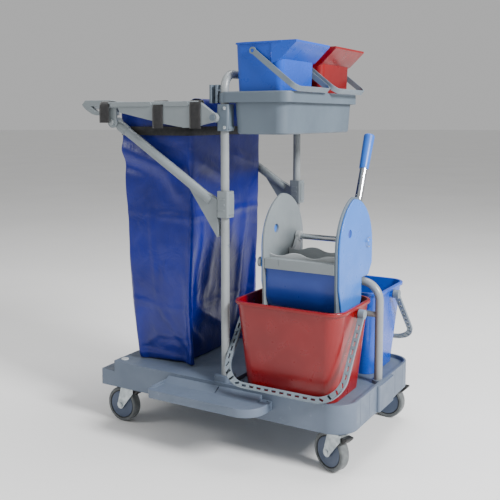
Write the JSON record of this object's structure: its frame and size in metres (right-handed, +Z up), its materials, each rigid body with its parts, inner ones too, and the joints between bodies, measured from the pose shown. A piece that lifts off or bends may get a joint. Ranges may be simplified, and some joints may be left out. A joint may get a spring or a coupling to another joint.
{
  "type": "cleaning trolley",
  "caption": "Janitor's trolley: press buckets with jaw wringer on a caster deck, tube portal with tray and small buckets, fold-up bag ring with sack and push bar.",
  "frame": {"origin": "bottom centre of the whole trolley's box, on the floor", "axes": "+Z up, +X towards the bucket end, -X towards the push bar, -Y the working side with the foot shelf"},
  "size_m": [0.902, 0.6316, 1.061],
  "materials": {
    "grey_plastic": "moulded polypropylene, fine texture",
    "painted_tube": "powder coated steel tube, warm light grey",
    "zinc_steel": "zinc plated pressed steel",
    "bright_steel": "chrome plated",
    "grey_rubber": "grey thermoplastic rubber tread",
    "hub_plastic": "blue-grey nylon wheel centre",
    "black_plastic": "black nylon",
    "white_plug": "light grey cap",
    "red_plastic": "red polypropylene",
    "blue_plastic": "blue polypropylene",
    "light_blue_plastic": "light blue moulded cover",
    "bail_plastic": "grey moulded bail",
    "jaw_plastic": "light grey moulded jaw",
    "bag_fabric": "blue PVC coated cloth",
    "strap_webbing": "black elastic webbing"
  },
  "bodies": {
    "trolley": {"platform": "grey_plastic", "deck_plug": "white_plug", "front_shelf": "grey_plastic", "caster_heads": "zinc_steel", "portal_tube": "painted_tube", "height_buttons": "bright_steel", "hinge_brackets": "grey_plastic", "top_bar_clip": "grey_plastic", "upper_tray": "grey_plastic", "bucket_arch_tube": "painted_tube", "arch_cross_rail": "painted_tube"},
    "arm_clamps": {"arm_clamps": "grey_plastic"},
    "bag_frame": {"bag_ring": "grey_plastic", "arm_pins": "zinc_steel", "push_handle": "grey_plastic", "bag_straps": "strap_webbing", "bag": "bag_fabric", "bag_cuff": "bag_fabric"},
    "support_arm_front": {"support_arm_front": "painted_tube"},
    "support_arm_rear": {"support_arm_rear": "painted_tube"},
    "red_bucket": {"red_bucket": "red_plastic"},
    "red_bail": {"red_bail": "bail_plastic"},
    "wringer": {"wringer_side_right": "grey_plastic", "wringer_side_left": "grey_plastic", "wringer_cover_right": "light_blue_plastic", "wringer_cover_left": "light_blue_plastic", "wringer_front_plate": "jaw_plastic", "wringer_front_panel": "light_blue_plastic", "wringer_front_bar": "grey_plastic"},
    "wringer_lever": {"pivot_rod": "bright_steel", "lever_tube": "bright_steel", "lever_grip": "light_blue_plastic"},
    "press_jaw": {"press_plate": "jaw_plastic"},
    "blue_bucket": {"blue_bucket": "blue_plastic"},
    "blue_bail": {"blue_bail": "bail_plastic"},
    "small_bucket_blue": {"small_bucket_blue": "blue_plastic"},
    "small_bail_blue": {"small_bail_blue": "bail_plastic"},
    "small_bucket_red": {"small_bucket_red": "red_plastic"},
    "small_bail_red": {"small_bail_red": "bail_plastic"},
    "caster_front_left": {"caster_fork_front_left": "zinc_steel", "caster_axle_front_left": "zinc_steel", "caster_guard_front_left": "black_plastic"},
    "wheel_front_left": {"wheel_hub_front_left": "hub_plastic", "wheel_tyre_front_left": "grey_rubber"},
    "caster_front_right": {"caster_fork_front_right": "zinc_steel", "caster_axle_front_right": "zinc_steel", "caster_guard_front_right": "black_plastic"},
    "wheel_front_right": {"wheel_hub_front_right": "hub_plastic", "wheel_tyre_front_right": "grey_rubber"},
    "caster_rear_left": {"caster_fork_rear_left": "zinc_steel", "caster_axle_rear_left": "zinc_steel", "caster_guard_rear_left": "black_plastic"},
    "wheel_rear_left": {"wheel_hub_rear_left": "hub_plastic", "wheel_tyre_rear_left": "grey_rubber"},
    "caster_rear_right": {"caster_fork_rear_right": "zinc_steel", "caster_axle_rear_right": "zinc_steel", "caster_guard_rear_right": "black_plastic"},
    "wheel_rear_right": {"wheel_hub_rear_right": "hub_plastic", "wheel_tyre_rear_right": "grey_rubber"}
  },
  "joints": [
    {"name": "caster_front_left_swivel", "type": "hinge", "parent": "trolley", "child": "caster_front_left", "pos_m": [-0.243, -0.19381, 0.107], "axis": [0, 0, 1], "continuous": true},
    {"name": "wheel_front_left_spin", "type": "hinge", "parent": "caster_front_left", "child": "wheel_front_left", "pos_m": [-0.268, -0.19381, 0.05], "axis": [0, 1, 0], "continuous": true},
    {"name": "caster_front_right_swivel", "type": "hinge", "parent": "trolley", "child": "caster_front_right", "pos_m": [0.407, -0.19381, 0.107], "axis": [0, 0, 1], "continuous": true},
    {"name": "wheel_front_right_spin", "type": "hinge", "parent": "caster_front_right", "child": "wheel_front_right", "pos_m": [0.38366, -0.18485, 0.05], "axis": [0.3584, 0.9336, 0], "continuous": true},
    {"name": "caster_rear_left_swivel", "type": "hinge", "parent": "trolley", "child": "caster_rear_left", "pos_m": [-0.243, 0.21619, 0.107], "axis": [0, 0, 1], "continuous": true},
    {"name": "wheel_rear_left_spin", "type": "hinge", "parent": "caster_rear_left", "child": "wheel_rear_left", "pos_m": [-0.268, 0.21619, 0.05], "axis": [0, 1, 0], "continuous": true},
    {"name": "caster_rear_right_swivel", "type": "hinge", "parent": "trolley", "child": "caster_rear_right", "pos_m": [0.407, 0.21619, 0.107], "axis": [0, 0, 1], "continuous": true},
    {"name": "wheel_rear_right_spin", "type": "hinge", "parent": "caster_rear_right", "child": "wheel_rear_right", "pos_m": [0.38203, 0.2175, 0.05], "axis": [0.0523, 0.9986, 0], "continuous": true},
    {"name": "bag_frame_fold", "type": "hinge", "parent": "trolley", "child": "bag_frame", "pos_m": [0.062, 0.01119, 0.873], "axis": [0, 1, 0], "range_deg": [0, 40]},
    {"name": "support_arm_front_fold", "type": "hinge", "parent": "bag_frame", "child": "support_arm_front", "pos_m": [-0.275, -0.19831, 0.86], "axis": [0, 1, 0], "range_deg": [-23.41, 0]},
    {"name": "support_arm_rear_fold", "type": "hinge", "parent": "bag_frame", "child": "support_arm_rear", "pos_m": [-0.275, 0.22069, 0.86], "axis": [0, 1, 0], "range_deg": [-23.41, 0]},
    {"name": "arm_clamp_slide", "type": "slide", "parent": "trolley", "child": "arm_clamps", "axis": [0, 0, 1], "range_m": [0, 0.1385]},
    {"name": "red_bucket_slide_out", "type": "slide", "parent": "trolley", "child": "red_bucket", "axis": [0, -0.8829, 0.4695], "range_m": [0, 0.326]},
    {"name": "red_bail_swing", "type": "hinge", "parent": "red_bucket", "child": "red_bail", "pos_m": [0.264, -0.10881, 0.385], "axis": [-1, 0, 0], "range_deg": [0, 118]},
    {"name": "wringer_lift_off", "type": "slide", "parent": "red_bucket", "child": "wringer", "axis": [0, 0, 1], "range_m": [0, 0.15]},
    {"name": "wringer_lever_pull", "type": "hinge", "parent": "wringer", "child": "wringer_lever", "pos_m": [0.342, 0.02319, 0.546], "axis": [1, 0, 0], "range_deg": [0, 72]},
    {"name": "press_jaw_swing", "type": "hinge", "parent": "wringer", "child": "press_jaw", "pos_m": [0.276, 0.02319, 0.546], "axis": [1, 0, 0], "range_deg": [-18.01, 0]},
    {"name": "blue_bucket_slide_out", "type": "slide", "parent": "trolley", "child": "blue_bucket", "axis": [0, 0.5, 0.866], "range_m": [0, 0.3]},
    {"name": "blue_bail_swing", "type": "hinge", "parent": "blue_bucket", "child": "blue_bail", "pos_m": [0.264, 0.14519, 0.385], "axis": [1, 0, 0], "range_deg": [0, 130]},
    {"name": "small_bucket_blue_lift_off", "type": "slide", "parent": "trolley", "child": "small_bucket_blue", "axis": [0, 0, 1], "range_m": [0, 0.25]},
    {"name": "small_bail_blue_swing", "type": "hinge", "parent": "small_bucket_blue", "child": "small_bail_blue", "pos_m": [0.163, -0.09581, 1.039], "axis": [0, -1, 0], "range_deg": [0, 195]},
    {"name": "small_bucket_red_lift_off", "type": "slide", "parent": "trolley", "child": "small_bucket_red", "axis": [0, 0, 1], "range_m": [0, 0.25]},
    {"name": "small_bail_red_swing", "type": "hinge", "parent": "small_bucket_red", "child": "small_bail_red", "pos_m": [0.172, 0.11819, 1.039], "axis": [0, -1, 0], "range_deg": [0, 195]}
  ],
  "couplings": [
    {"joint": "support_arm_front_fold", "follows": "bag_frame_fold", "ratio": -0.585},
    {"joint": "support_arm_rear_fold", "follows": "bag_frame_fold", "ratio": -0.585},
    {"joint": "arm_clamp_slide", "follows": "bag_frame_fold", "m_per_rad": 0.19767},
    {"joint": "press_jaw_swing", "follows": "wringer_lever_pull", "ratio": -0.25}
  ]
}
